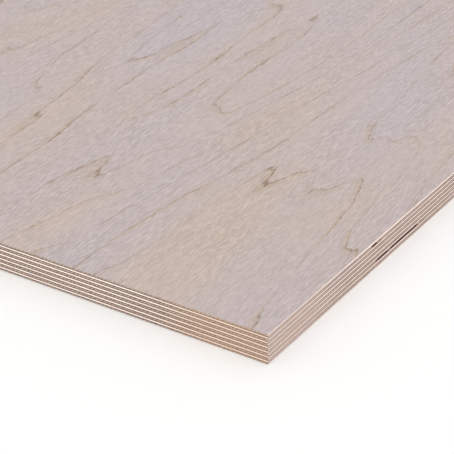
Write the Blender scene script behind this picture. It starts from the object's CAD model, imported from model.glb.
import math

import bpy
from mathutils import Matrix, Vector


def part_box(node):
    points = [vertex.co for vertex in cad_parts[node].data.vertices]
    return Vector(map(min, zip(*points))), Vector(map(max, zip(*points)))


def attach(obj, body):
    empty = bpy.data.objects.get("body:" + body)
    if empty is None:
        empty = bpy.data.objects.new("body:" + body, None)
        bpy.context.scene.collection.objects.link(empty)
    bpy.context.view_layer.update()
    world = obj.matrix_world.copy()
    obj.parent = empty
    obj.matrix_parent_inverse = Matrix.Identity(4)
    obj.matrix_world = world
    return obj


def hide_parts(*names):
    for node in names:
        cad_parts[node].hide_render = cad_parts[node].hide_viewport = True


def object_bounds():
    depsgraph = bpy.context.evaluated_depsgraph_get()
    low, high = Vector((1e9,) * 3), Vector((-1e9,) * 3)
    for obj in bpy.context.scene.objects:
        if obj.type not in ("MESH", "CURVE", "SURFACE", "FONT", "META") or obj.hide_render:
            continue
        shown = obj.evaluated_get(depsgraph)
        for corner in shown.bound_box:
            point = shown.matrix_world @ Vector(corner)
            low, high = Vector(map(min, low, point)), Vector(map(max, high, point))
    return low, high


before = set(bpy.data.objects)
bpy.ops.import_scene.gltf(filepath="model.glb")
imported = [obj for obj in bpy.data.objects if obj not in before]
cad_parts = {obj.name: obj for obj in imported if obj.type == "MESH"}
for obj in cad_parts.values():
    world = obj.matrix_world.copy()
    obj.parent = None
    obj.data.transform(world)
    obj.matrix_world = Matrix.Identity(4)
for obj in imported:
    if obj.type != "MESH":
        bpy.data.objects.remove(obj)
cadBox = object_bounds()
sheetLow, sheetHigh = cadBox
sheetLength = sheetHigh.x - sheetLow.x
sheetWidth = sheetHigh.y - sheetLow.y
nearCorner = Vector((sheetLow.x, sheetLow.y, sheetHigh.z))

# The veneers from the underside up, and which of them have their grain along the sheet
veneers = sorted(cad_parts, key=lambda name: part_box(name)[0].z)
print("veneers, underside first:", ", ".join(veneers))


def linear(hexColour):
    # "#RRGGBB" as picked on screen, turned into the linear colour that a shader wants
    colour = []
    for place in (1, 3, 5):
        value = int(hexColour[place:place + 2], 16) / 255
        colour.append(value / 12.92 if value <= 0.04045 else ((value + 0.055) / 1.055) ** 2.4)
    return (*colour, 1.0)


def addNode(tree, kind, settings=None, links=None):
    # One node, for a shader or a geometry tree. settings are the node's own properties, then values of
    # inputs by name or number. A link comes from another node's first output, or from a given output.
    node = tree.nodes.new(kind)
    for key, value in (settings or {}).items():
        if isinstance(key, int) or key in node.inputs:
            node.inputs[key].default_value = value
        else:
            setattr(node, key, value)
    for key, source in (links or {}).items():
        socket = source.outputs[0] if isinstance(source, bpy.types.Node) else source
        tree.links.new(socket, node.inputs[key])
    return node


# The camera: low over the near corner, close to the long edge, with a long lens
cameraSettings = {
    "lens": 140,                # mm
    "sensor": 36,               # mm
    "fromCorner": (-0.625, -0.404, 0.492),  # metres, from the near corner of the face
    "heading": 34.36,           # degrees, from +X towards +Y
    "downward": 29.935,
    "roll": -1.43,
    "nearest": 0.05,            # metres, what it sees from and to
    "farthest": 200,
}


def makeCamera(settings):
    heading = math.radians(settings["heading"])
    down = math.radians(settings["downward"])
    roll = math.radians(settings["roll"])
    ahead = Vector((math.cos(heading) * math.cos(down), math.sin(heading) * math.cos(down), -math.sin(down)))
    right = ahead.cross(Vector((0, 0, 1))).normalized()
    upward = right.cross(ahead)
    tiltedRight = math.cos(roll) * right + math.sin(roll) * upward
    tiltedUp = math.cos(roll) * upward - math.sin(roll) * right
    data = bpy.data.cameras.new("camera")
    data.lens = settings["lens"]
    data.sensor_width = settings["sensor"]
    data.clip_start = settings["nearest"]
    data.clip_end = settings["farthest"]
    camera = bpy.data.objects.new("camera", data)
    bpy.context.scene.collection.objects.link(camera)
    turn = Matrix((tiltedRight, tiltedUp, -ahead)).transposed().to_4x4()
    camera.matrix_world = Matrix.Translation(nearCorner + Vector(settings["fromCorner"])) @ turn
    bpy.context.scene.camera = camera


makeCamera(cameraSettings)
print("camera set over the near corner")


# The sanded face, and the back
faceSettings = {
    "grey": "#B8ACAE",          # the cool tone of the sanded face
    "beige": "#BDACA1",         # the warm tone it drifts to
    "line": "#8A735F",          # growth lines, a thin tan
    "tan": "#B3A190",           # the tan that fades into the wood on one side of a line
    "origin": (900, 4300),      # mm, which part of the log it was
    "taper": 170,               # mm along the sheet from one growth line to the next
    "years": 3.2,               # growth lines in a run of good or bad years
    "yearShare": 0.6,           # how much those runs count beside the patches
    "waves": [                  # mm along the sheet, mm across it, and growth lines cut through
        (1400, 170, 17.0),
        (420, 48, 4.0),
        (110, 17, 0.8),
        (9, 1.3, 0.11),
    ],
    "layers": {                 # mm along the sheet, mm across it, detail, roughness, shift
        "strength": (48, 20, 2.0, 0.6, 5.0),    # growth lines come and go
        "patch": (240, 80, 2.0, 0.5, 11.0),     # cool and warm patches
        "fleck": (5.5, 0.4, 1.0, 0.6, 0.0),     # fibre bundles, drawn wider than real so that they show
        "thick": (60, 30, 1.0, 0.5, 3.0),       # where the flecks lie thick
        "fibre": (34, 0.9, 2.0, 0.6, 0.0),      # long fine fibres
    },
    "deepening": (0.78, 0.97),  # shares of a ring: where the tan sets in and is full
    "rise": (0.94, 0.96),       # where the line starts
    "stop": (0.965, 0.985),     # where the ring ends
    "faintest": 0.1,            # how strong a growth line is, at least and at most
    "strongest": 0.85,
    "fleckTone": 0.17,          # how much lighter and darker flecks and fibres are
    "fibreTone": 0.5,           # fibres beside flecks
    "roughness": (0.58, 0.72),
    "bump": 0.00004,            # metres
}

# The two long sawn edges
longEdgeSettings = {
    "sideGrain": "#F6E6DC",     # veneers whose grain runs along this edge
    "sideGrainDark": "#DDC9BE",
    "endGrain": "#BCA89E",      # veneers cut across the grain
    "endGrainDark": "#9E8980",
    "glue": "#6C544A",
    "dust": "#BCA79F",          # fine sawdust in the pores, thickest at the near corner
    "dustShare": 0.38,
}

# The two sawn ends
endSettings = {
    "sideGrain": "#F7EBE2",
    "sideGrainDark": "#E7D5C9",
    "endGrain": "#AF9C90",
    "endGrainDark": "#887468",
    "glue": "#5C463B",
    "dust": "#B18B6C",
    "dustShare": 0.36,
}

# What every sawn edge shares
sawnSettings = {
    "glueSide": 0.21,           # mm of a side-grain stripe that the glue has darkened
    "glueEnd": 0.13,            # and of an end-grain one
    "glueFade": 0.18,           # mm over which it fades
    "glueWobble": 0.25,         # mm, how uneven its line is
    "glueShift": 0.12,          # mm that the line is drawn back, to make up for that
    "dustFrom": 45,             # mm from the near corner, where the dust starts to thin
    "dustTo": 85,
    "dustWobble": 14,           # mm, how uneven its limit is
    "runGlue": "#7C432E",       # glue that has run into a gap
    "runFrom": 0.3,             # mm in from the edge, where it shows first and is full
    "runTo": 2.2,
    "dirt": 0.78,               # tone of the lower arris, which has picked up dirt, where 1 is clean
    "dirtHigh": 0.5,            # mm of the back veneer that it covers
    "drift": 85,                # mm, how slowly a veneer's tone changes along the edge
    "driftTone": (0.86, 1.1),
    "checkPitch": 2.7,          # mm, cracks that the peeling knife leaves in a veneer
    "checkLean": 1.3,           # mm that they lean over, for each mm of height
    "checkDrift": 4.0,          # mm that they stray from an even pitch
    "checkWidth": 0.34,         # as a share of the pitch, drawn wider than real so that it shows
    "speckle": (0.9, 0.5),      # mm, bundles of open fibre ends, drawn coarser than real
    "speckleTone": 0.8,         # speckles beside cracks
    "fibreLong": 22,            # mm, fibres on a side-grain stripe
    "fibreWide": 0.3,
    "toothPitch": 1.1,          # mm, faint upright saw marks
    "toothTone": 0.45,          # saw marks beside fibres
    "bump": 0.00006,            # metres
}

# The film of glue that shows inside a gap
filmSettings = {
    "dark": "#6F4433",
    "light": "#95644E",
    "streaks": (900, 900, 200), # in a metre along X, Y and Z
    "bump": 0.00005,            # metres
}


def newMaterial(name):
    material = bpy.data.materials.new(name)
    material.use_nodes = True
    material.node_tree.nodes.clear()
    return material, material.node_tree


def finishMaterial(tree, colour, height, roughness, bumpDistance):
    bump = addNode(tree, "ShaderNodeBump", {"Strength": 1.0, "Distance": bumpDistance}, {"Height": height})
    shader = addNode(tree, "ShaderNodeBsdfPrincipled",
                     {"IOR": 1.45, "Specular IOR Level": 0.35},
                     {"Base Color": colour, "Roughness": roughness, "Normal": bump})
    addNode(tree, "ShaderNodeOutputMaterial", {}, {"Surface": shader})


def sandedBirch(name, settings):
    # Rotary-cut birch, drum sanded and unfinished: the knife follows the log round, so each growth
    # ring comes out as a long wandering line or a nest of tongues, pale and matt, with fine flecks.
    material, tree = newMaterial(name)
    place = addNode(tree, "ShaderNodeTexCoord")
    mm = addNode(tree, "ShaderNodeMapping",
                 {"Location": (*settings["origin"], 0), "Scale": (1000, 1000, 1000)},
                 {"Vector": place.outputs["Object"]})

    # Every pattern is noise stretched along the grain
    layers = dict(settings["layers"])
    for wide, narrow, rings in settings["waves"]:
        layers[wide] = (wide, narrow, 1.0, 0.5, 0.0)
    noises = {}
    for layer, (wide, narrow, detail, rough, shift) in layers.items():
        spread = addNode(tree, "ShaderNodeMapping",
                         {"Location": (shift, shift, 0), "Scale": (1 / wide, 1 / narrow, 0.02)},
                         {"Vector": mm})
        noises[layer] = addNode(tree, "ShaderNodeTexNoise",
                                {"Scale": 1.0, "Detail": detail, "Roughness": rough}, {"Vector": spread})

    # How deep into the log the knife was, counted in growth rings
    split = addNode(tree, "ShaderNodeSeparateXYZ", {}, {"Vector": mm})
    depth = addNode(tree, "ShaderNodeMath", {"operation": "MULTIPLY", 1: 1 / settings["taper"]},
                    {0: split.outputs["X"]})
    for wide, narrow, rings in settings["waves"]:
        depth = addNode(tree, "ShaderNodeMath", {"operation": "MULTIPLY_ADD", 1: rings},
                        {0: noises[wide], 2: depth})
    ring = addNode(tree, "ShaderNodeMath", {"operation": "FRACT"}, {0: depth})

    # Late wood: a tan that deepens slowly, then a thin line where the ring stops
    steps = {}
    for step, low, high in (("deepening", 0.0, 1.0), ("rise", 0.0, 1.0), ("stop", 1.0, 0.0)):
        steps[step] = addNode(tree, "ShaderNodeMapRange",
                              {"interpolation_type": "SMOOTHSTEP", "From Min": settings[step][0],
                               "From Max": settings[step][1], "To Min": low, "To Max": high},
                              {"Value": ring})
    strength = addNode(tree, "ShaderNodeMapRange",
                       {"From Min": 0.38, "From Max": 0.66,
                        "To Min": settings["faintest"], "To Max": settings["strongest"]},
                       {"Value": noises["strength"]})
    shares = {}
    for tint, step in (("tan", "deepening"), ("line", "rise")):
        pattern = addNode(tree, "ShaderNodeMath", {"operation": "MULTIPLY"},
                          {0: steps[step], 1: steps["stop"]})
        shares[tint] = addNode(tree, "ShaderNodeMath", {"operation": "MULTIPLY"}, {0: pattern, 1: strength})

    # Good and bad years in the log: cool and warm bands a few rings wide, broken into patches
    age = addNode(tree, "ShaderNodeMath", {"operation": "MULTIPLY", 1: 1 / settings["years"]}, {0: depth})
    years = addNode(tree, "ShaderNodeTexNoise",
                    {"noise_dimensions": "1D", "Scale": 1.0, "Detail": 1.0}, {"W": age})
    patch = addNode(tree, "ShaderNodeMath", {"operation": "MULTIPLY_ADD", 1: settings["yearShare"]},
                    {0: years, 2: noises["patch"]})
    patchShare = addNode(tree, "ShaderNodeMapRange", {"From Min": 0.6, "From Max": 1.0}, {"Value": patch})
    colour = addNode(tree, "ShaderNodeMix",
                     {"data_type": "RGBA", 6: linear(settings["grey"]), 7: linear(settings["beige"])},
                     {0: patchShare})
    for tint, share in shares.items():
        colour = addNode(tree, "ShaderNodeMix", {"data_type": "RGBA", 7: linear(settings[tint])},
                         {0: share, 6: colour.outputs[2]})

    # Flecks along the grain, thick in some places and thin in others, over fine fibres
    fleck = addNode(tree, "ShaderNodeMapRange",
                    {"From Min": 0.38, "From Max": 0.62, "To Min": -1.0, "To Max": 1.0},
                    {"Value": noises["fleck"]})
    thick = addNode(tree, "ShaderNodeMapRange",
                    {"From Min": 0.35, "From Max": 0.6, "To Min": 0.65, "To Max": 1.0},
                    {"Value": noises["thick"]})
    fibre = addNode(tree, "ShaderNodeMapRange",
                    {"To Min": -settings["fibreTone"], "To Max": settings["fibreTone"]},
                    {"Value": noises["fibre"]})
    grain = addNode(tree, "ShaderNodeMath", {"operation": "MULTIPLY_ADD"}, {0: fleck, 1: thick, 2: fibre})
    tone = addNode(tree, "ShaderNodeMath", {"operation": "MULTIPLY_ADD", 1: settings["fleckTone"], 2: 1.0},
                   {0: grain})
    toned = addNode(tree, "ShaderNodeVectorMath", {"operation": "SCALE"},
                    {0: colour.outputs[2], "Scale": tone})
    smoothest, roughest = settings["roughness"]
    roughness = addNode(tree, "ShaderNodeMapRange",
                        {"From Min": -1.0, "To Min": smoothest, "To Max": roughest}, {"Value": grain})
    finishMaterial(tree, toned, grain, roughness, settings["bump"])
    return material


unglued = 50.0                  # mm, what an open face adds to the distance to the glue


def sawnPlaces(tree):
    # What the veneer's mesh says of a point on a sawn edge, all in mm: how far along the edge and how
    # high it is, and how far it is from the glue under and over it, and in from the edge
    sawn = addNode(tree, "ShaderNodeAttribute", {"attribute_name": "sawn"})
    glue = addNode(tree, "ShaderNodeAttribute", {"attribute_name": "glue"})
    distances = addNode(tree, "ShaderNodeSeparateXYZ", {}, {"Vector": glue.outputs["Vector"]})
    return sawn.outputs["Vector"], distances


def glued(tree, place, glue, colour, colours, soaked):
    # Phenolic glue soaks a little way into the wood on both sides of the joint, in an uneven line
    wobble = addNode(tree, "ShaderNodeTexNoise", {"Scale": 0.5, "Detail": 3.0}, {"Vector": place})
    nearest = addNode(tree, "ShaderNodeMath", {"operation": "MINIMUM"},
                      {0: glue.outputs["X"], 1: glue.outputs["Y"]})
    uneven = addNode(tree, "ShaderNodeMath", {"operation": "MULTIPLY_ADD", 1: -sawnSettings["glueWobble"]},
                     {0: wobble, 2: nearest})
    start = soaked - sawnSettings["glueShift"]
    share = addNode(tree, "ShaderNodeMapRange",
                    {"interpolation_type": "SMOOTHSTEP",
                     "From Min": start, "From Max": start + sawnSettings["glueFade"],
                     "To Min": 1.0, "To Max": 0.0}, {"Value": uneven})
    lined = addNode(tree, "ShaderNodeMix", {"data_type": "RGBA", 7: linear(colours["glue"])},
                    {0: share, 6: colour})

    # Dust, by the distance in mm from the near corner round either way
    split = addNode(tree, "ShaderNodeSeparateXYZ", {}, {"Vector": place})
    wholeWay = 1000 * 2 * (sheetLength + sheetWidth)
    otherWay = addNode(tree, "ShaderNodeMath", {"operation": "SUBTRACT", 0: wholeWay},
                       {1: split.outputs["X"]})
    fromCorner = addNode(tree, "ShaderNodeMath", {"operation": "MINIMUM"},
                         {0: split.outputs["X"], 1: otherWay})
    patchy = addNode(tree, "ShaderNodeMath", {"operation": "MULTIPLY_ADD", 1: sawnSettings["dustWobble"]},
                     {0: wobble, 2: fromCorner})
    dusty = addNode(tree, "ShaderNodeMapRange",
                    {"interpolation_type": "SMOOTHSTEP",
                     "From Min": sawnSettings["dustFrom"], "From Max": sawnSettings["dustTo"],
                     "To Min": colours["dustShare"], "To Max": 0.0}, {"Value": patchy})
    dusted = addNode(tree, "ShaderNodeMix", {"data_type": "RGBA", 7: linear(colours["dust"])},
                     {0: dusty, 6: lined.outputs[2]})

    # Deeper in, a gap is stained with glue that has run
    inward = addNode(tree, "ShaderNodeMapRange",
                     {"From Min": sawnSettings["runFrom"], "From Max": sawnSettings["runTo"]},
                     {"Value": glue.outputs["Z"]})
    stained = addNode(tree, "ShaderNodeMix", {"data_type": "RGBA", 7: linear(sawnSettings["runGlue"])},
                      {0: inward, 6: dusted.outputs[2]})

    # The back veneer, which counts its height from its open face above a large number, is dirty there
    cleaner = addNode(tree, "ShaderNodeMapRange",
                      {"From Min": unglued + 0.1, "From Max": unglued + sawnSettings["dirtHigh"],
                       "To Min": sawnSettings["dirt"], "To Max": 1.0}, {"Value": glue.outputs["X"]})
    isOpen = addNode(tree, "ShaderNodeMath", {"operation": "GREATER_THAN", 1: unglued - 0.5},
                     {0: glue.outputs["X"]})
    dirtTone = addNode(tree, "ShaderNodeMix", {"data_type": "FLOAT", 2: 1.0}, {0: isOpen, 3: cleaner})

    # And each veneer drifts in tone along the edge
    drifting = addNode(tree, "ShaderNodeMapping", {"Scale": (1 / sawnSettings["drift"], 0.03, 1)},
                       {"Vector": place})
    drift = addNode(tree, "ShaderNodeTexNoise", {"Scale": 1.0, "Detail": 2.0}, {"Vector": drifting})
    darkest, lightest = sawnSettings["driftTone"]
    driftTone = addNode(tree, "ShaderNodeMapRange",
                        {"From Min": 0.3, "From Max": 0.7, "To Min": darkest, "To Max": lightest},
                        {"Value": drift})
    tone = addNode(tree, "ShaderNodeMath", {"operation": "MULTIPLY"}, {0: driftTone, 1: dirtTone})
    return addNode(tree, "ShaderNodeVectorMath", {"operation": "SCALE"},
                   {0: stained.outputs[2], "Scale": tone})


def sawnSideGrain(name, colours):
    # Birch veneer sawn along its grain: pale and even, with long fibres and faint saw marks
    material, tree = newMaterial(name)
    place, glue = sawnPlaces(tree)
    fibres = addNode(tree, "ShaderNodeMapping",
                     {"Scale": (1 / sawnSettings["fibreLong"], 1 / sawnSettings["fibreWide"], 1)},
                     {"Vector": place})
    fibre = addNode(tree, "ShaderNodeTexNoise", {"Scale": 1.0, "Detail": 3.0, "Roughness": 0.55},
                    {"Vector": fibres})
    teeth = addNode(tree, "ShaderNodeMapping", {"Scale": (1 / sawnSettings["toothPitch"], 0.1, 1)},
                    {"Vector": place})
    tooth = addNode(tree, "ShaderNodeTexNoise", {"Scale": 1.0, "Detail": 1.0}, {"Vector": teeth})
    mixed = addNode(tree, "ShaderNodeMath", {"operation": "MULTIPLY_ADD", 1: sawnSettings["toothTone"]},
                    {0: tooth, 2: fibre})
    share = addNode(tree, "ShaderNodeMapRange", {"From Min": 0.5, "From Max": 0.95}, {"Value": mixed})
    dark = linear(colours["sideGrainDark"])
    wood = addNode(tree, "ShaderNodeMix", {"data_type": "RGBA", 6: dark, 7: linear(colours["sideGrain"])},
                   {0: share})
    colour = glued(tree, place, glue, wood.outputs[2], colours, sawnSettings["glueSide"])
    roughness = addNode(tree, "ShaderNodeMapRange", {"To Min": 0.6, "To Max": 0.75}, {"Value": mixed})
    finishMaterial(tree, colour, mixed, roughness, sawnSettings["bump"])
    return material


def sawnEndGrain(name, colours):
    # Birch veneer sawn across its grain: open fibre ends swallow the light, so it is darker, and the
    # cracks of the peeling knife cross it as leaning strokes
    material, tree = newMaterial(name)
    place, glue = sawnPlaces(tree)
    split = addNode(tree, "ShaderNodeSeparateXYZ", {}, {"Vector": place})
    drift = addNode(tree, "ShaderNodeTexNoise", {"Scale": 0.25, "Detail": 2.0}, {"Vector": place})
    lean = addNode(tree, "ShaderNodeMath", {"operation": "MULTIPLY_ADD", 1: -sawnSettings["checkLean"]},
                   {0: split.outputs["Y"], 2: split.outputs["X"]})
    drifted = addNode(tree, "ShaderNodeMath", {"operation": "MULTIPLY_ADD", 1: sawnSettings["checkDrift"]},
                      {0: drift, 2: lean})
    turns = addNode(tree, "ShaderNodeMath", {"operation": "DIVIDE", 1: sawnSettings["checkPitch"]},
                    {0: drifted})
    saw = addNode(tree, "ShaderNodeMath", {"operation": "FRACT"}, {0: turns})
    away = addNode(tree, "ShaderNodeMath", {"operation": "SUBTRACT", 1: 0.5}, {0: saw})
    middle = addNode(tree, "ShaderNodeMath", {"operation": "ABSOLUTE"}, {0: away})
    check = addNode(tree, "ShaderNodeMapRange",
                    {"interpolation_type": "SMOOTHSTEP", "From Min": 0.02,
                     "From Max": sawnSettings["checkWidth"], "To Min": 1.0, "To Max": 0.0}, {"Value": middle})
    wide, high = sawnSettings["speckle"]
    speckles = addNode(tree, "ShaderNodeMapping", {"Scale": (1 / wide, 1 / high, 1)}, {"Vector": place})
    speckle = addNode(tree, "ShaderNodeTexNoise", {"Scale": 1.0, "Detail": 2.0}, {"Vector": speckles})
    dark = addNode(tree, "ShaderNodeMath", {"operation": "MULTIPLY_ADD", 1: sawnSettings["speckleTone"]},
                   {0: speckle, 2: check})
    share = addNode(tree, "ShaderNodeMapRange", {"From Min": 0.25, "From Max": 1.35}, {"Value": dark})
    wood = addNode(tree, "ShaderNodeMix",
                   {"data_type": "RGBA", 6: linear(colours["endGrain"]), 7: linear(colours["endGrainDark"])},
                   {0: share})
    colour = glued(tree, place, glue, wood.outputs[2], colours, sawnSettings["glueEnd"])
    height = addNode(tree, "ShaderNodeMath", {"operation": "MULTIPLY", 1: -1.0}, {0: dark})
    roughness = addNode(tree, "ShaderNodeMapRange", {"To Min": 0.72, "To Max": 0.85}, {"Value": speckle})
    finishMaterial(tree, colour, height, roughness, sawnSettings["bump"])
    return material


def gluedVeneer(name, settings):
    # Veneer under a film of cured phenolic glue: brown and a little shiny. It shows only inside a gap.
    material, tree = newMaterial(name)
    place = addNode(tree, "ShaderNodeTexCoord")
    streaks = addNode(tree, "ShaderNodeMapping", {"Scale": settings["streaks"]},
                      {"Vector": place.outputs["Object"]})
    streak = addNode(tree, "ShaderNodeTexNoise", {"Scale": 1.0, "Detail": 3.0}, {"Vector": streaks})
    colour = addNode(tree, "ShaderNodeMix",
                     {"data_type": "RGBA", 6: linear(settings["dark"]), 7: linear(settings["light"])},
                     {0: streak})
    roughness = addNode(tree, "ShaderNodeMapRange", {"To Min": 0.4, "To Max": 0.6}, {"Value": streak})
    finishMaterial(tree, colour.outputs[2], streak, roughness, settings["bump"])
    return material


sandedFace = sandedBirch("sandedBirch", faceSettings)
glueFilm = gluedVeneer("phenolicGlueFilm", filmSettings)
longSideGrain = sawnSideGrain("sawnSideGrainLongEdge", longEdgeSettings)
longEndGrain = sawnEndGrain("sawnEndGrainLongEdge", longEdgeSettings)
endSideGrain = sawnSideGrain("sawnSideGrainEnd", endSettings)
endEndGrain = sawnEndGrain("sawnEndGrainEnd", endSettings)
print("materials made")


# The veneers all come from one geometry tree, and these are its inputs
veneerSettings = {
    "Columns": 1830,            # steps round the outline, 4 mm each, so that every corner gets one
    "Relief": 0.00012,          # metres, how unevenly the saw has cut
    "Easing": 0.00022,          # metres, how far sanding has eased the outer arrises
    "Inner Ring": 0.02,         # metres, a ring of faces inside the outline, wider than any notch
    "Notch Start": 0.0,         # metres along the front edge from the near corner
    "Notch Length": 0.0,
    "Notch Depth": 0.0,
    "Notch Taper": 0.001,
    "Seed Step": 0.37,          # how far apart two veneers are in the noise
    "Bake Strips": 60,          # the edge is wrapped into so many strips of the bake's map
    "Wall Share": 0.98,         # the share of that map that the edge gets
}

# The steps of the veneers that need finer ones
fineColumns = 7320

# Only rows 4 and 5 of ten go into a notch, so the wood over and under them stays as two lips
notchSettings = {
    "lowerLip": 0.24,           # shares of the veneer's thickness, from its underside
    "upperLip": 0.49,
    "rounding": 4.0,            # how thinly a notch runs out at its ends
    "shallowest": 0.03,         # the share of its depth that it keeps where fibres stand in it
    "fibres": 170.0,            # how many places for such fibres there are in a metre
}


def makeVeneerTree(notches):
    tree = bpy.data.node_groups.new("sawnVeneer", "GeometryNodeTree")
    for name, kind in (("Length", "Float"), ("Width", "Float"), ("Base", "Float"), ("Thickness", "Float"),
                       ("Columns", "Int"), ("Relief", "Float"), ("Inner Ring", "Float"),
                       ("Easing Below", "Float"), ("Easing Above", "Float"),
                       ("Notch Start", "Float"), ("Notch Length", "Float"), ("Notch Depth", "Float"),
                       ("Notch Taper", "Float"), ("Seed", "Float"),
                       ("Bake Strips", "Float"), ("Wall Share", "Float"),
                       ("Face Below", "Material"), ("Face Above", "Material"),
                       ("Long Edge", "Material"), ("End", "Material")):
        tree.interface.new_socket(name, in_out="INPUT", socket_type="NodeSocket" + kind)
    tree.interface.new_socket("Veneer", in_out="OUTPUT", socket_type="NodeSocketGeometry")
    given = addNode(tree, "NodeGroupInput").outputs

    # A strip of quads: along it the outline of the sheet, across it ten rows from the middle of the
    # underside, up the sawn edge (rows 2 to 7) and in to the middle of the top
    rowCount = 10
    columns = addNode(tree, "ShaderNodeMath", {"operation": "ADD", 1: 1.0}, {0: given["Columns"]})
    strip = addNode(tree, "GeometryNodeMeshGrid", {"Size X": 1.0, "Size Y": 1.0, "Vertices Y": rowCount},
                    {"Vertices X": columns})
    across = addNode(tree, "ShaderNodeSeparateXYZ", {}, {"Vector": strip.outputs["UV Map"]})
    sides = addNode(tree, "ShaderNodeMath", {"operation": "ADD"}, {0: given["Length"], 1: given["Width"]})
    outline = addNode(tree, "ShaderNodeMath", {"operation": "MULTIPLY", 1: 2.0}, {0: sides})
    along = addNode(tree, "ShaderNodeMath", {"operation": "MULTIPLY"}, {0: across.outputs["X"], 1: outline})
    rowPlace = addNode(tree, "ShaderNodeMath", {"operation": "MULTIPLY", 1: rowCount - 1},
                       {0: across.outputs["Y"]})
    row = addNode(tree, "ShaderNodeMath", {"operation": "ROUND"}, {0: rowPlace})

    # How far along each of the four sides, front, far end, back, near end
    pastFront = addNode(tree, "ShaderNodeMath", {"operation": "SUBTRACT"}, {0: along, 1: given["Length"]})
    pastEnd = addNode(tree, "ShaderNodeMath", {"operation": "SUBTRACT"}, {0: along, 1: sides})
    pastBack = addNode(tree, "ShaderNodeMath", {"operation": "SUBTRACT"}, {0: pastEnd, 1: given["Length"]})
    steps = []
    for distance, limit in ((along, "Length"), (pastFront, "Width"),
                            (pastEnd, "Length"), (pastBack, "Width")):
        steps.append(addNode(tree, "ShaderNodeClamp", {"Min": 0.0},
                             {"Value": distance, "Max": given[limit]}))
    outlineX = addNode(tree, "ShaderNodeMath", {"operation": "SUBTRACT"}, {0: steps[0], 1: steps[2]})
    outlineY = addNode(tree, "ShaderNodeMath", {"operation": "SUBTRACT"}, {0: steps[1], 1: steps[3]})
    halfLength = addNode(tree, "ShaderNodeMath", {"operation": "MULTIPLY", 1: 0.5}, {0: given["Length"]})
    halfWidth = addNode(tree, "ShaderNodeMath", {"operation": "MULTIPLY", 1: 0.5}, {0: given["Width"]})
    cornerX = addNode(tree, "ShaderNodeMath", {"operation": "SUBTRACT"}, {0: outlineX, 1: halfLength})
    cornerY = addNode(tree, "ShaderNodeMath", {"operation": "SUBTRACT"}, {0: outlineY, 1: halfWidth})

    # The height and the inset of each row
    lowerLip = addNode(tree, "ShaderNodeMath", {"operation": "MULTIPLY", 1: notches["lowerLip"]},
                       {0: given["Thickness"]})
    upperLip = addNode(tree, "ShaderNodeMath", {"operation": "MULTIPLY", 1: notches["upperLip"]},
                       {0: given["Thickness"]})
    shoulder = addNode(tree, "ShaderNodeMath", {"operation": "SUBTRACT"},
                       {0: given["Thickness"], 1: given["Easing Above"]})
    height = addNode(tree, "GeometryNodeIndexSwitch", {"data_type": "FLOAT"})
    inset = addNode(tree, "GeometryNodeIndexSwitch", {"data_type": "FLOAT"})
    for switch in (height, inset):
        while len(switch.index_switch_items) < rowCount:
            switch.index_switch_items.new()
        tree.links.new(row.outputs[0], switch.inputs["Index"])
    top = given["Thickness"]
    for item, source in ((3, given["Easing Below"]), (4, lowerLip.outputs[0]), (5, upperLip.outputs[0]),
                         (6, shoulder.outputs[0]), (7, top), (8, top), (9, top)):
        tree.links.new(source, height.inputs[item + 1])
    for item, source in ((0, halfWidth.outputs[0]), (1, given["Inner Ring"]), (2, given["Easing Below"]),
                         (7, given["Easing Above"]), (8, given["Inner Ring"]), (9, halfWidth.outputs[0])):
        tree.links.new(source, inset.inputs[item + 1])

    # The saw's unevenness, and the notch, on the rows that belong to the sawn edge: 2 to 7 are within
    # 2.6 of the middle one, and 4 and 5 within 0.6
    onEdge = addNode(tree, "ShaderNodeMath", {"operation": "COMPARE", 1: 4.5, 2: 2.6}, {0: row})
    seedHeight = addNode(tree, "ShaderNodeMath", {"operation": "ADD"}, {0: height, 1: given["Seed"]})
    woodPlace = addNode(tree, "ShaderNodeCombineXYZ", {}, {"X": cornerX, "Y": cornerY, "Z": seedHeight})
    unevenness = addNode(tree, "ShaderNodeTexNoise", {"Scale": 60.0, "Detail": 3.0}, {"Vector": woodPlace})
    relief = addNode(tree, "ShaderNodeMath", {"operation": "MULTIPLY"}, {0: unevenness, 1: given["Relief"]})
    fromStart = addNode(tree, "ShaderNodeMath", {"operation": "SUBTRACT"},
                        {0: along, 1: given["Notch Start"]})
    toEnd = addNode(tree, "ShaderNodeMath", {"operation": "SUBTRACT"},
                    {0: given["Notch Length"], 1: fromStart})
    within = addNode(tree, "ShaderNodeMath", {"operation": "MINIMUM"}, {0: fromStart, 1: toEnd})
    share = addNode(tree, "ShaderNodeMath", {"operation": "DIVIDE", "use_clamp": True},
                    {0: within, 1: given["Notch Taper"]})
    ragged = addNode(tree, "ShaderNodeTexNoise", {"Scale": notches["fibres"], "Detail": 2.0},
                     {"Vector": woodPlace})
    raggedShare = addNode(tree, "ShaderNodeMapRange",
                          {"From Min": 0.42, "From Max": 0.56,
                           "To Min": notches["shallowest"], "To Max": 1.0}, {"Value": ragged})
    between = addNode(tree, "ShaderNodeMath", {"operation": "COMPARE", 1: 4.5, 2: 0.6}, {0: row})
    rounded = addNode(tree, "ShaderNodeMath", {"operation": "POWER", 1: notches["rounding"]}, {0: share})
    notchRow = addNode(tree, "ShaderNodeMath", {"operation": "MULTIPLY"}, {0: rounded, 1: between})
    notchShare = addNode(tree, "ShaderNodeMath", {"operation": "MULTIPLY"}, {0: notchRow, 1: raggedShare})
    notch = addNode(tree, "ShaderNodeMath", {"operation": "MULTIPLY"},
                    {0: notchShare, 1: given["Notch Depth"]})
    cutBack = addNode(tree, "ShaderNodeMath", {"operation": "ADD"}, {0: relief, 1: notch})
    edgeInset = addNode(tree, "ShaderNodeMath", {"operation": "MULTIPLY_ADD"},
                        {0: cutBack, 1: onEdge, 2: inset})

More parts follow.
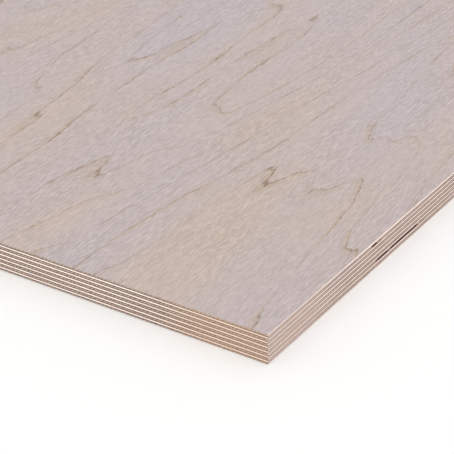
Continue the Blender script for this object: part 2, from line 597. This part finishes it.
    # The outline drawn in by the inset, with square corners
    places = []
    for corner, half in ((cornerX, halfLength), (cornerY, halfWidth)):
        reach = addNode(tree, "ShaderNodeMath", {"operation": "SUBTRACT"}, {0: half, 1: edgeInset})
        back = addNode(tree, "ShaderNodeMath", {"operation": "MULTIPLY", 1: -1.0}, {0: reach})
        places.append(addNode(tree, "ShaderNodeClamp", {}, {"Value": corner, "Min": back, "Max": reach}))
    level = addNode(tree, "ShaderNodeMath", {"operation": "ADD"}, {0: height, 1: given["Base"]})
    position = addNode(tree, "ShaderNodeCombineXYZ", {}, {"X": places[0], "Y": places[1], "Z": level})

    # What the materials read on the edge, in mm
    sawn = addNode(tree, "ShaderNodeCombineXYZ", {}, {"X": along, "Y": height, "Z": given["Seed"]})
    sawnMm = addNode(tree, "ShaderNodeVectorMath", {"operation": "SCALE", "Scale": 1000.0}, {0: sawn})
    # An eased arris has no glue on its side of the veneer: it counts as far from any
    farFromGlue = []
    for easing in ("Easing Below", "Easing Above"):
        eased = addNode(tree, "ShaderNodeMath", {"operation": "GREATER_THAN", 1: 0.0}, {0: given[easing]})
        farFromGlue.append(addNode(tree, "ShaderNodeMath", {"operation": "MULTIPLY", 1: unglued / 1000},
                                   {0: eased}))
    headroom = addNode(tree, "ShaderNodeMath", {"operation": "SUBTRACT"},
                       {0: given["Thickness"], 1: height})
    overGlue = addNode(tree, "ShaderNodeMath", {"operation": "ADD"}, {0: height, 1: farFromGlue[0]})
    underGlue = addNode(tree, "ShaderNodeMath", {"operation": "ADD"}, {0: headroom, 1: farFromGlue[1]})
    glue = addNode(tree, "ShaderNodeCombineXYZ", {}, {"X": overGlue, "Y": underGlue, "Z": cutBack})
    glueMm = addNode(tree, "ShaderNodeVectorMath", {"operation": "SCALE", "Scale": 1000.0}, {0: glue})

    # Which of the four finishes each face has
    faceRow = addNode(tree, "GeometryNodeFieldOnDomain", {"data_type": "FLOAT", "domain": "FACE"},
                      {0: rowPlace})
    faceAlong = addNode(tree, "GeometryNodeFieldOnDomain", {"data_type": "FLOAT", "domain": "FACE"},
                        {0: along})
    below = addNode(tree, "ShaderNodeMath", {"operation": "LESS_THAN", 1: 2.0}, {0: faceRow})
    above = addNode(tree, "ShaderNodeMath", {"operation": "GREATER_THAN", 1: 7.0}, {0: faceRow})
    overFront = addNode(tree, "ShaderNodeMath", {"operation": "GREATER_THAN"},
                        {0: faceAlong, 1: given["Length"]})
    overEnd = addNode(tree, "ShaderNodeMath", {"operation": "GREATER_THAN"}, {0: faceAlong, 1: sides})
    backEnd = addNode(tree, "ShaderNodeMath", {"operation": "ADD"}, {0: sides, 1: given["Length"]})
    overBack = addNode(tree, "ShaderNodeMath", {"operation": "GREATER_THAN"}, {0: faceAlong, 1: backEnd})
    onFarEnd = addNode(tree, "ShaderNodeMath", {"operation": "SUBTRACT"}, {0: overFront, 1: overEnd})
    onEnd = addNode(tree, "ShaderNodeMath", {"operation": "ADD"}, {0: onFarEnd, 1: overBack})

    # The bake's map: the edge in strips one over the other, the upper side over them, and the underside
    # in a thin band along the top, all with small margins
    upperTop = 0.992
    bandSize = (0.98, 0.004, 0)
    bandCorner = (0.01, 0.995, 0)
    stripLength = addNode(tree, "ShaderNodeMath", {"operation": "DIVIDE"},
                          {0: outline, 1: given["Bake Strips"]})
    stripPlace = addNode(tree, "ShaderNodeMath", {"operation": "DIVIDE"}, {0: along, 1: stripLength})
    stripFace = addNode(tree, "GeometryNodeFieldOnDomain", {"data_type": "FLOAT", "domain": "FACE"},
                        {0: stripPlace})
    stripNumber = addNode(tree, "ShaderNodeMath", {"operation": "FLOOR"}, {0: stripFace})
    stripAcross = addNode(tree, "ShaderNodeMath", {"operation": "SUBTRACT"}, {0: stripPlace, 1: stripNumber})
    stripU = addNode(tree, "ShaderNodeMapRange", {"clamp": False, "To Min": 0.01, "To Max": 0.98},
                     {"Value": stripAcross})
    wallPlace = addNode(tree, "ShaderNodeMapRange",
                        {"clamp": False, "From Min": 2.0, "From Max": 7.0, "To Min": 0.1, "To Max": 0.9},
                        {"Value": rowPlace})
    stripHeight = addNode(tree, "ShaderNodeMath", {"operation": "ADD"}, {0: stripNumber, 1: wallPlace})
    stripShare = addNode(tree, "ShaderNodeMath", {"operation": "DIVIDE"},
                         {0: given["Wall Share"], 1: given["Bake Strips"]})
    stripV = addNode(tree, "ShaderNodeMath", {"operation": "MULTIPLY"}, {0: stripHeight, 1: stripShare})
    wallMap = addNode(tree, "ShaderNodeCombineXYZ", {}, {"X": stripU, "Y": stripV})
    flatX = addNode(tree, "ShaderNodeMath", {"operation": "DIVIDE"}, {0: places[0], 1: given["Length"]})
    flatY = addNode(tree, "ShaderNodeMath", {"operation": "DIVIDE"}, {0: places[1], 1: given["Width"]})
    flatU = addNode(tree, "ShaderNodeMath", {"operation": "ADD", 1: 0.5}, {0: flatX})
    flatV = addNode(tree, "ShaderNodeMath", {"operation": "ADD", 1: 0.5}, {0: flatY})
    left = addNode(tree, "ShaderNodeMath", {"operation": "SUBTRACT", 0: upperTop}, {1: given["Wall Share"]})
    faceV = addNode(tree, "ShaderNodeMath", {"operation": "MULTIPLY_ADD"},
                    {0: flatV, 1: left, 2: given["Wall Share"]})
    upperMap = addNode(tree, "ShaderNodeCombineXYZ", {}, {"X": flatU, "Y": faceV})
    smallPlace = addNode(tree, "ShaderNodeCombineXYZ", {}, {"X": flatU, "Y": flatV})
    lowerMap = addNode(tree, "ShaderNodeVectorMath",
                       {"operation": "MULTIPLY_ADD", 1: bandSize, 2: bandCorner}, {0: smallPlace})
    onTop = addNode(tree, "GeometryNodeSwitch", {"input_type": "VECTOR"}, {0: above, 1: wallMap, 2: upperMap})
    bakeMap = addNode(tree, "GeometryNodeSwitch", {"input_type": "VECTOR"}, {0: below, 1: onTop, 2: lowerMap})

    shape = strip
    for name, kind, domain, value in (("sawn", "FLOAT_VECTOR", "CORNER", sawnMm),
                                      ("glue", "FLOAT_VECTOR", "CORNER", glueMm),
                                      ("OFBake", "FLOAT2", "CORNER", bakeMap),
                                      ("below", "FLOAT", "FACE", below), ("above", "FLOAT", "FACE", above),
                                      ("onEnd", "FLOAT", "FACE", onEnd)):
        shape = addNode(tree, "GeometryNodeStoreNamedAttribute",
                        {"data_type": kind, "domain": domain, "Name": name},
                        {"Geometry": shape, "Value": value})

    # Moved into place, the strip closes on itself and along the middle of both sides, and is welded there
    moved = addNode(tree, "GeometryNodeSetPosition", {}, {"Geometry": shape, "Position": position})
    welded = addNode(tree, "GeometryNodeMergeByDistance", {"Distance": 0.000002}, {"Geometry": moved})
    shape = addNode(tree, "GeometryNodeRealizeInstances", {}, {"Geometry": welded})
    shape = addNode(tree, "GeometryNodeSetMaterial", {}, {"Geometry": shape, "Material": given["Long Edge"]})
    for name, finish in (("onEnd", "End"), ("below", "Face Below"), ("above", "Face Above")):
        chosen = addNode(tree, "GeometryNodeInputNamedAttribute", {"data_type": "FLOAT", "Name": name})
        shape = addNode(tree, "GeometryNodeSetMaterial", {},
                        {"Geometry": shape, "Selection": chosen, "Material": given[finish]})
    addNode(tree, "NodeGroupOutput", {}, {"Veneer": shape})
    return tree


veneerTree = makeVeneerTree(notchSettings)


def makeVeneer(name, changes):
    # The veneer that stands for the CAD node of that name
    low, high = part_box(name)
    values = dict(veneerSettings)
    easing = values.pop("Easing")
    seedStep = values.pop("Seed Step")
    number = veneers.index(name)
    lowest = number == 0
    highest = number == len(veneers) - 1
    alongSheet = number % 2 == 0
    values.update({
        "Length": sheetLength, "Width": sheetWidth, "Base": low.z, "Thickness": high.z - low.z,
        "Easing Below": easing if lowest else 0.0, "Easing Above": easing if highest else 0.0,
        "Seed": seedStep * (number + 1),
        "Face Below": sandedFace if lowest else glueFilm, "Face Above": sandedFace if highest else glueFilm,
        "Long Edge": longSideGrain if alongSheet else longEndGrain,
        "End": endEndGrain if alongSheet else endSideGrain,
    })
    values.update(changes)
    holder = bpy.data.objects.new("holder", bpy.data.meshes.new("holder"))
    bpy.context.scene.collection.objects.link(holder)
    modifier = holder.modifiers.new("veneer", "NODES")
    modifier.node_group = veneerTree
    for socket in veneerTree.interface.items_tree:
        if socket.in_out == "INPUT":
            modifier[socket.identifier] = values[socket.name]
    ready = holder.evaluated_get(bpy.context.evaluated_depsgraph_get())
    mesh = bpy.data.meshes.new_from_object(ready)
    mesh.name = name + "_wood"
    bpy.data.objects.remove(holder)
    mesh.shade_smooth()
    mesh.set_sharp_from_angle(angle=math.radians(30))
    piece = bpy.data.objects.new(name + "_wood", mesh)
    bpy.context.scene.collection.objects.link(piece)
    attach(piece, "root")
    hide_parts(name)
    return piece


# Where the core is short, and where a chip has come off just under the face
gapChanges = {
    "Columns": fineColumns,
    "Notch Start": 0.098,
    "Notch Length": 0.083,
    "Notch Depth": 0.0138,
    "Notch Taper": 0.028,
}
chipChanges = {
    "Columns": fineColumns,
    "Notch Start": 0.096,
    "Notch Length": 0.028,
    "Notch Depth": 0.0048,
    "Notch Taper": 0.013,
}
changesOf = {
    "cross_ply_04": gapChanges,
    "cross_ply_12": chipChanges,
    "face_veneer": {"Columns": fineColumns},
}

# The outer veneers have a whole side to bake, so the edge gets less of their map
for outer in (veneers[0], veneers[-1]):
    changesOf.setdefault(outer, {}).update({"Bake Strips": 12, "Wall Share": 0.16})

pieces = [makeVeneer(name, changesOf.get(name, {})) for name in veneers]
triangles = sum(len(polygon.vertices) - 2 for piece in pieces for polygon in piece.data.polygons)
print("veneers made:", len(pieces), "pieces,", triangles, "triangles")


# The floor and the light
studioSettings = {
    "floorSize": 60,            # metres
    "floorDrop": 0.0002,        # metres below the sheet
    "floor": "#F2F2F1",
    "floorRoughness": 0.9,
    "floorShine": 0.1,
    "skyStrength": 0.85,
    "softboxes": [              # where the light stands and how high, in degrees
        {"heading": 220, "height": 31, "strength": 1.75, "angle": 45},
    ],
}


def makeFloor(settings):
    half = settings["floorSize"] / 2
    mesh = bpy.data.meshes.new("floor")
    corners = [(-half, -half, 0), (half, -half, 0), (half, half, 0), (-half, half, 0)]
    mesh.from_pydata(corners, [], [(0, 1, 2, 3)])
    material = bpy.data.materials.new("palePaper")
    material.use_nodes = True
    shader = material.node_tree.nodes["Principled BSDF"]
    shader.inputs["Base Color"].default_value = linear(settings["floor"])
    shader.inputs["Roughness"].default_value = settings["floorRoughness"]
    shader.inputs["Specular IOR Level"].default_value = settings["floorShine"]
    mesh.materials.append(material)
    floor = bpy.data.objects.new("floor", mesh)
    bpy.context.scene.collection.objects.link(floor)
    floor.location.z = sheetLow.z - settings["floorDrop"]


def makeLight(settings):
    world = bpy.data.worlds.new("studio")
    world.use_nodes = True
    background = world.node_tree.nodes["Background"]
    background.inputs["Color"].default_value = linear("#FFFFFF")
    background.inputs["Strength"].default_value = settings["skyStrength"]
    bpy.context.scene.world = world
    for number, box in enumerate(settings["softboxes"]):
        data = bpy.data.lights.new("softbox%d" % number, "SUN")
        data.energy = box["strength"]
        data.angle = math.radians(box["angle"])
        light = bpy.data.objects.new("softbox%d" % number, data)
        bpy.context.scene.collection.objects.link(light)
        heading = math.radians(box["heading"])
        height = math.radians(box["height"])
        toLight = Vector((math.cos(heading) * math.cos(height), math.sin(heading) * math.cos(height),
                          math.sin(height)))
        light.rotation_euler = toLight.to_track_quat("Z", "Y").to_euler()


makeFloor(studioSettings)
makeLight(studioSettings)
bpy.context.scene.view_settings.view_transform = "Standard"
print("floor and light made")
